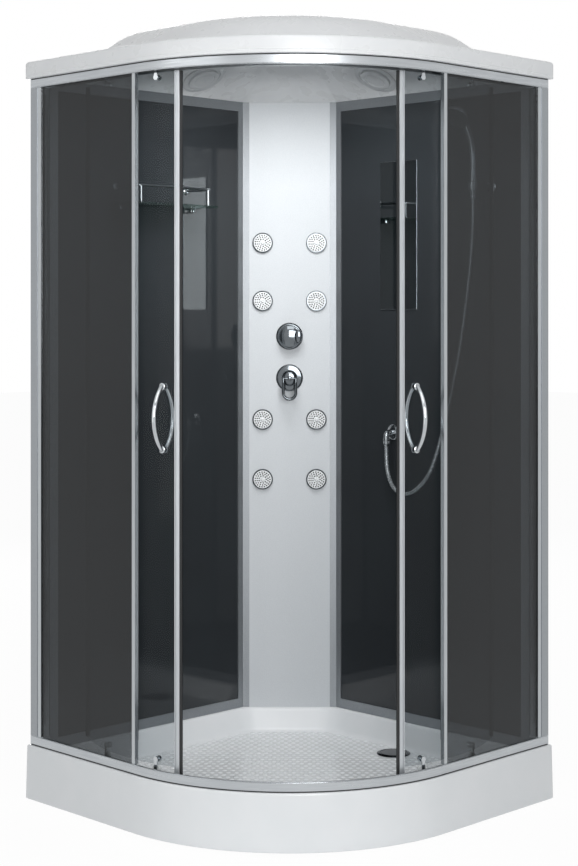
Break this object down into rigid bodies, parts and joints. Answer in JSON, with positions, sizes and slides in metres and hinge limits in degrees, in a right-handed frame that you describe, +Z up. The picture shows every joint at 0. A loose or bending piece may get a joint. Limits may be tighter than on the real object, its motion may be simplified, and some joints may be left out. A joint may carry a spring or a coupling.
{
  "type": "quadrant shower cabin",
  "caption": "Corner shower cabin with curved sliding glass doors, low tray, domed roof, body jets, mixer, hand shower, shelf and mirror.",
  "frame": {"origin": "middle of the square footprint, on the floor", "axes": "+Z up; the two room walls lie towards -X and +Y and meet in the corner (-X, +Y); the curved front bulges towards (+X, -Y)"},
  "size_m": [1.007, 1.007, 2.07],
  "materials": {
    "white_acrylic": "gloss sanitary acrylic",
    "white_abs": "gloss ABS",
    "light_abs": "gloss ABS",
    "satin_aluminium": "satin anodised",
    "bright_aluminium": "polished",
    "door_aluminium": "satin anodised",
    "smoked_glass": "smoked toughened glass",
    "door_glass": "smoked toughened glass",
    "shelf_glass": "clear glass",
    "black_glass": "glass painted black on its back",
    "silver_panel": "silver satin paint",
    "mirror_glass": "silvered",
    "black_rubber": "matte",
    "black_magnet_strip": "satin",
    "grey_plastic": "matte",
    "galvanised_steel": "zinc plated",
    "brass": "plain",
    "white_jet_face": "gloss",
    "hose_plastic": "silver-grey PVC",
    "roller_plastic": "acetal",
    "chrome": "bright plated"
  },
  "bodies": {
    "cabin": {"bottom_rail": "satin_aluminium", "ceiling_discs": "light_abs", "column_panel": "silver_panel", "drain_trap": "grey_plastic", "fixed_edge_profiles": "bright_aluminium", "fixed_edge_seals": "black_rubber", "glass_posts": "bright_aluminium", "hose_nut_outlet": "chrome", "hose_outlet": "chrome", "jet_collars": "chrome", "left_fixed_glass": "smoked_glass", "left_wall_glass": "black_glass", "mirror": "mirror_glass", "right_fixed_glass": "smoked_glass", "right_wall_glass": "black_glass", "roof": "white_abs", "shelf_glass": "shelf_glass", "shelf_rail": "chrome", "shower_holder": "chrome", "shower_hose": "hose_plastic", "top_rail": "satin_aluminium", "tray": "white_acrylic", "tray_feet": "galvanised_steel", "tray_frame": "galvanised_steel", "valve_plates": "chrome", "wall_frames": "satin_aluminium", "wall_posts": "satin_aluminium", "water_manifold": "brass"},
    "left_door_roller_bottom_1": {"left_door_roller_bottom_1": "roller_plastic"},
    "left_door_roller_top_1": {"left_door_roller_top_1": "roller_plastic"},
    "left_door_roller_bottom_2": {"left_door_roller_bottom_2": "roller_plastic"},
    "left_door_roller_top_2": {"left_door_roller_top_2": "roller_plastic"},
    "right_door_roller_bottom_1": {"right_door_roller_bottom_1": "roller_plastic"},
    "right_door_roller_top_1": {"right_door_roller_top_1": "roller_plastic"},
    "right_door_roller_bottom_2": {"right_door_roller_bottom_2": "roller_plastic"},
    "right_door_roller_top_2": {"right_door_roller_top_2": "roller_plastic"},
    "jet_head_1": {"jet_head_1": "white_jet_face"},
    "jet_head_2": {"jet_head_2": "white_jet_face"},
    "jet_head_3": {"jet_head_3": "white_jet_face"},
    "jet_head_4": {"jet_head_4": "white_jet_face"},
    "jet_head_5": {"jet_head_5": "white_jet_face"},
    "jet_head_6": {"jet_head_6": "white_jet_face"},
    "jet_head_7": {"jet_head_7": "white_jet_face"},
    "jet_head_8": {"jet_head_8": "white_jet_face"},
    "diverter_knob": {"diverter_knob": "chrome"},
    "mixer_dome": {"mixer_dome": "chrome"},
    "mixer_lever": {"mixer_lever": "chrome"},
    "drain_cover": {"drain_cover": "chrome"},
    "handset": {"handset": "chrome", "hose_nut_handset": "chrome"},
    "left_door": {"left_door_glass": "door_glass", "left_door_lead_profile": "door_aluminium", "left_door_seals": "black_magnet_strip", "left_door_handle": "chrome", "left_roller_brackets": "chrome"},
    "right_door": {"right_door_glass": "door_glass", "right_door_lead_profile": "door_aluminium", "right_door_seals": "black_magnet_strip", "right_door_handle": "chrome", "right_roller_brackets": "chrome"}
  },
  "joints": [
    {"name": "left_door_slide", "type": "hinge", "parent": "cabin", "child": "left_door", "pos_m": [-0.09105, 0.15873, 1.04], "axis": [0, 0, 1], "range_deg": [0, 25.79]},
    {"name": "right_door_slide", "type": "hinge", "parent": "cabin", "child": "right_door", "pos_m": [-0.15873, 0.09105, 1.04], "axis": [0, 0, -1], "range_deg": [0, 25.79]},
    {"name": "left_door_roller_bottom_1_spin", "type": "hinge", "parent": "left_door", "child": "left_door_roller_bottom_1", "pos_m": [-0.0062, -0.46214, 0.1655], "axis": [-0.1852, 0.9827, 0], "range_deg": [-5, 1360]},
    {"name": "left_door_roller_top_1_spin", "type": "hinge", "parent": "left_door", "child": "left_door_roller_top_1", "pos_m": [-0.0062, -0.46214, 1.9203], "axis": [-0.1852, 0.9827, 0], "range_deg": [-5, 1810]},
    {"name": "left_door_roller_bottom_2_spin", "type": "hinge", "parent": "left_door", "child": "left_door_roller_bottom_2", "pos_m": [-0.20235, -0.46102, 0.1655], "axis": [0.1964, 0.9805, 0], "range_deg": [-5, 1370]},
    {"name": "left_door_roller_top_2_spin", "type": "hinge", "parent": "left_door", "child": "left_door_roller_top_2", "pos_m": [-0.20235, -0.46102, 1.9203], "axis": [0.1964, 0.9805, 0], "range_deg": [-5, 1820]},
    {"name": "right_door_roller_bottom_1_spin", "type": "hinge", "parent": "right_door", "child": "right_door_roller_bottom_1", "pos_m": [0.46214, 0.0062, 0.1655], "axis": [0.9827, -0.1852, 0], "range_deg": [-5, 1360]},
    {"name": "right_door_roller_top_1_spin", "type": "hinge", "parent": "right_door", "child": "right_door_roller_top_1", "pos_m": [0.46214, 0.0062, 1.9203], "axis": [0.9827, -0.1852, 0], "range_deg": [-5, 1810]},
    {"name": "right_door_roller_bottom_2_spin", "type": "hinge", "parent": "right_door", "child": "right_door_roller_bottom_2", "pos_m": [0.46102, 0.20235, 0.1655], "axis": [0.9805, 0.1964, 0], "range_deg": [-5, 1370]},
    {"name": "right_door_roller_top_2_spin", "type": "hinge", "parent": "right_door", "child": "right_door_roller_top_2", "pos_m": [0.46102, 0.20235, 1.9203], "axis": [0.9805, 0.1964, 0], "range_deg": [-5, 1820]},
    {"name": "jet_1_tilt", "type": "hinge", "parent": "cabin", "child": "jet_head_1", "pos_m": [-0.41262, 0.29949, 0.81], "axis": [0.7071, 0.7071, 0], "range_deg": [-8, 8]},
    {"name": "jet_2_tilt", "type": "hinge", "parent": "cabin", "child": "jet_head_2", "pos_m": [-0.41262, 0.29949, 0.988], "axis": [0.7071, 0.7071, 0], "range_deg": [-8, 8]},
    {"name": "jet_3_tilt", "type": "hinge", "parent": "cabin", "child": "jet_head_3", "pos_m": [-0.41262, 0.29949, 1.341], "axis": [0.7071, 0.7071, 0], "range_deg": [-8, 8]},
    {"name": "jet_4_tilt", "type": "hinge", "parent": "cabin", "child": "jet_head_4", "pos_m": [-0.41262, 0.29949, 1.514], "axis": [0.7071, 0.7071, 0], "range_deg": [-8, 8]},
    {"name": "jet_5_tilt", "type": "hinge", "parent": "cabin", "child": "jet_head_5", "pos_m": [-0.29949, 0.41262, 0.81], "axis": [0.7071, 0.7071, 0], "range_deg": [-8, 8]},
    {"name": "jet_6_tilt", "type": "hinge", "parent": "cabin", "child": "jet_head_6", "pos_m": [-0.29949, 0.41262, 0.988], "axis": [0.7071, 0.7071, 0], "range_deg": [-8, 8]},
    {"name": "jet_7_tilt", "type": "hinge", "parent": "cabin", "child": "jet_head_7", "pos_m": [-0.29949, 0.41262, 1.341], "axis": [0.7071, 0.7071, 0], "range_deg": [-8, 8]},
    {"name": "jet_8_tilt", "type": "hinge", "parent": "cabin", "child": "jet_head_8", "pos_m": [-0.29949, 0.41262, 1.514], "axis": [0.7071, 0.7071, 0], "range_deg": [-8, 8]},
    {"name": "diverter_turn", "type": "hinge", "parent": "cabin", "child": "diverter_knob", "pos_m": [-0.35867, 0.35867, 1.236], "axis": [0.7071, -0.7071, 0], "range_deg": [0, 120]},
    {"name": "temperature_turn", "type": "hinge", "parent": "cabin", "child": "mixer_dome", "pos_m": [-0.35867, 0.35867, 1.112], "axis": [0.7071, -0.7071, 0], "range_deg": [-50, 50]},
    {"name": "flow_lift", "type": "hinge", "parent": "mixer_dome", "child": "mixer_lever", "pos_m": [-0.32919, 0.32919, 1.112], "axis": [-0.7071, -0.7071, 0], "range_deg": [0, 25]},
    {"name": "drain_cover_lift", "type": "slide", "parent": "cabin", "child": "drain_cover", "axis": [0, 0, 1], "range_m": [0, 0.02]},
    {"name": "handset_lift", "type": "slide", "parent": "cabin", "child": "handset", "axis": [0, 0, 1], "range_m": [0, 0.04]}
  ],
  "couplings": [
    {"joint": "left_door_roller_bottom_1_spin", "follows": "left_door_slide", "ratio": 52.22},
    {"joint": "left_door_roller_top_1_spin", "follows": "left_door_slide", "ratio": 69.626},
    {"joint": "left_door_roller_bottom_2_spin", "follows": "left_door_slide", "ratio": 52.472},
    {"joint": "left_door_roller_top_2_spin", "follows": "left_door_slide", "ratio": 69.963},
    {"joint": "right_door_roller_bottom_1_spin", "follows": "right_door_slide", "ratio": 52.22},
    {"joint": "right_door_roller_top_1_spin", "follows": "right_door_slide", "ratio": 69.626},
    {"joint": "right_door_roller_bottom_2_spin", "follows": "right_door_slide", "ratio": 52.472},
    {"joint": "right_door_roller_top_2_spin", "follows": "right_door_slide", "ratio": 69.963}
  ]
}
